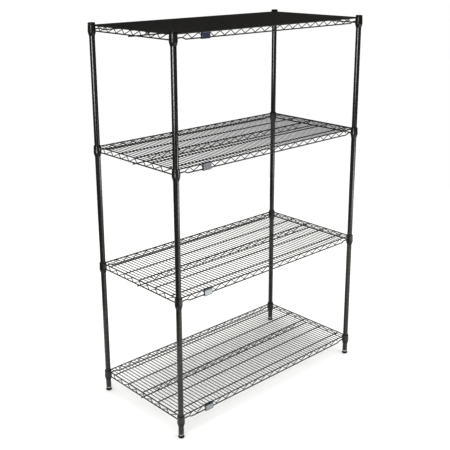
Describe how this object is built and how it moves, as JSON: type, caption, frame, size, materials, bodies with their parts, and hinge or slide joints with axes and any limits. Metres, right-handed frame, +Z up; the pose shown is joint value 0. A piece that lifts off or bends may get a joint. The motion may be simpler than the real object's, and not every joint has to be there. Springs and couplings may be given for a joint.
{
  "type": "wire shelving rack",
  "caption": "free-standing rack of open wire shelves that hang on tapered split sleeves, on ringed tube posts with round caps and screw-down levelling feet",
  "frame": {"origin": "on the floor, under the middle of the rack", "axes": "+X to the right along the width, -Y to the front where the labels are, +Z up"},
  "size_m": [1.2214, 0.6122, 1.8457],
  "materials": {
    "post_epoxy": "gloss",
    "wire_epoxy": "gloss",
    "cap_plastic": "gloss",
    "sleeve_plastic": "satin",
    "pad_rubber": "matte",
    "stem_steel": "satin",
    "insert_steel": "satin",
    "label_plastic": "satin"
  },
  "bodies": {
    "frame": {"post_front_left": "post_epoxy", "post_cap_front_left": "cap_plastic", "post_front_right": "post_epoxy", "post_cap_front_right": "cap_plastic", "post_back_left": "post_epoxy", "post_cap_back_left": "cap_plastic", "post_back_right": "post_epoxy", "post_cap_back_right": "cap_plastic", "foot_inserts": "insert_steel", "shelf_one_split_sleeves": "sleeve_plastic", "shelf_two_split_sleeves": "sleeve_plastic", "shelf_three_split_sleeves": "sleeve_plastic", "shelf_four_split_sleeves": "sleeve_plastic", "shelf_one_corner_collars": "wire_epoxy", "shelf_one_front_truss": "wire_epoxy", "shelf_one_back_truss": "wire_epoxy", "shelf_one_left_truss": "wire_epoxy", "shelf_one_right_truss": "wire_epoxy", "shelf_one_centre_truss": "wire_epoxy", "shelf_one_stringers": "wire_epoxy", "shelf_one_deck_wires": "wire_epoxy", "shelf_one_label_plate": "label_plastic"},
    "shelf_two": {"shelf_two_corner_collars": "wire_epoxy", "shelf_two_front_truss": "wire_epoxy", "shelf_two_back_truss": "wire_epoxy", "shelf_two_left_truss": "wire_epoxy", "shelf_two_right_truss": "wire_epoxy", "shelf_two_centre_truss": "wire_epoxy", "shelf_two_stringers": "wire_epoxy", "shelf_two_deck_wires": "wire_epoxy", "shelf_two_label_plate": "label_plastic"},
    "shelf_three": {"shelf_three_corner_collars": "wire_epoxy", "shelf_three_front_truss": "wire_epoxy", "shelf_three_back_truss": "wire_epoxy", "shelf_three_left_truss": "wire_epoxy", "shelf_three_right_truss": "wire_epoxy", "shelf_three_centre_truss": "wire_epoxy", "shelf_three_stringers": "wire_epoxy", "shelf_three_deck_wires": "wire_epoxy", "shelf_three_label_plate": "label_plastic"},
    "shelf_four": {"shelf_four_corner_collars": "wire_epoxy", "shelf_four_front_truss": "wire_epoxy", "shelf_four_back_truss": "wire_epoxy", "shelf_four_left_truss": "wire_epoxy", "shelf_four_right_truss": "wire_epoxy", "shelf_four_centre_truss": "wire_epoxy", "shelf_four_stringers": "wire_epoxy", "shelf_four_deck_wires": "wire_epoxy", "shelf_four_label_plate": "label_plastic"},
    "foot_pad_front_left": {"foot_pad_front_left": "pad_rubber"},
    "foot_stem_front_left": {"foot_stem_front_left": "stem_steel"},
    "foot_pad_front_right": {"foot_pad_front_right": "pad_rubber"},
    "foot_stem_front_right": {"foot_stem_front_right": "stem_steel"},
    "foot_pad_back_left": {"foot_pad_back_left": "pad_rubber"},
    "foot_stem_back_left": {"foot_stem_back_left": "stem_steel"},
    "foot_pad_back_right": {"foot_pad_back_right": "pad_rubber"},
    "foot_stem_back_right": {"foot_stem_back_right": "stem_steel"}
  },
  "joints": [
    {"name": "shelf_two_lift", "type": "slide", "parent": "frame", "child": "shelf_two", "axis": [0, 0, 1], "range_m": [0, 0.5]},
    {"name": "shelf_three_lift", "type": "slide", "parent": "frame", "child": "shelf_three", "axis": [0, 0, 1], "range_m": [0, 0.525]},
    {"name": "shelf_four_lift", "type": "slide", "parent": "frame", "child": "shelf_four", "axis": [0, 0, 1], "range_m": [0, 0.525]},
    {"name": "foot_front_left_height", "type": "slide", "parent": "frame", "child": "foot_pad_front_left", "axis": [0, 0, -1], "range_m": [0, 0.012]},
    {"name": "foot_front_left_turn", "type": "hinge", "parent": "foot_pad_front_left", "child": "foot_stem_front_left", "pos_m": [-0.5925, -0.288, 0.03], "axis": [0, 0, -1], "range_deg": [0, 2722]},
    {"name": "foot_front_right_height", "type": "slide", "parent": "frame", "child": "foot_pad_front_right", "axis": [0, 0, -1], "range_m": [0, 0.012]},
    {"name": "foot_front_right_turn", "type": "hinge", "parent": "foot_pad_front_right", "child": "foot_stem_front_right", "pos_m": [0.5925, -0.288, 0.03], "axis": [0, 0, -1], "range_deg": [0, 2722]},
    {"name": "foot_back_left_height", "type": "slide", "parent": "frame", "child": "foot_pad_back_left", "axis": [0, 0, -1], "range_m": [0, 0.012]},
    {"name": "foot_back_left_turn", "type": "hinge", "parent": "foot_pad_back_left", "child": "foot_stem_back_left", "pos_m": [-0.5925, 0.288, 0.03], "axis": [0, 0, -1], "range_deg": [0, 2722]},
    {"name": "foot_back_right_height", "type": "slide", "parent": "frame", "child": "foot_pad_back_right", "axis": [0, 0, -1], "range_m": [0, 0.012]},
    {"name": "foot_back_right_turn", "type": "hinge", "parent": "foot_pad_back_right", "child": "foot_stem_back_right", "pos_m": [0.5925, 0.288, 0.03], "axis": [0, 0, -1], "range_deg": [0, 2722]}
  ],
  "couplings": [
    {"joint": "foot_front_left_turn", "follows": "foot_front_left_height", "rad_per_m": 3957.9},
    {"joint": "foot_front_right_turn", "follows": "foot_front_right_height", "rad_per_m": 3957.9},
    {"joint": "foot_back_left_turn", "follows": "foot_back_left_height", "rad_per_m": 3957.9},
    {"joint": "foot_back_right_turn", "follows": "foot_back_right_height", "rad_per_m": 3957.9}
  ]
}
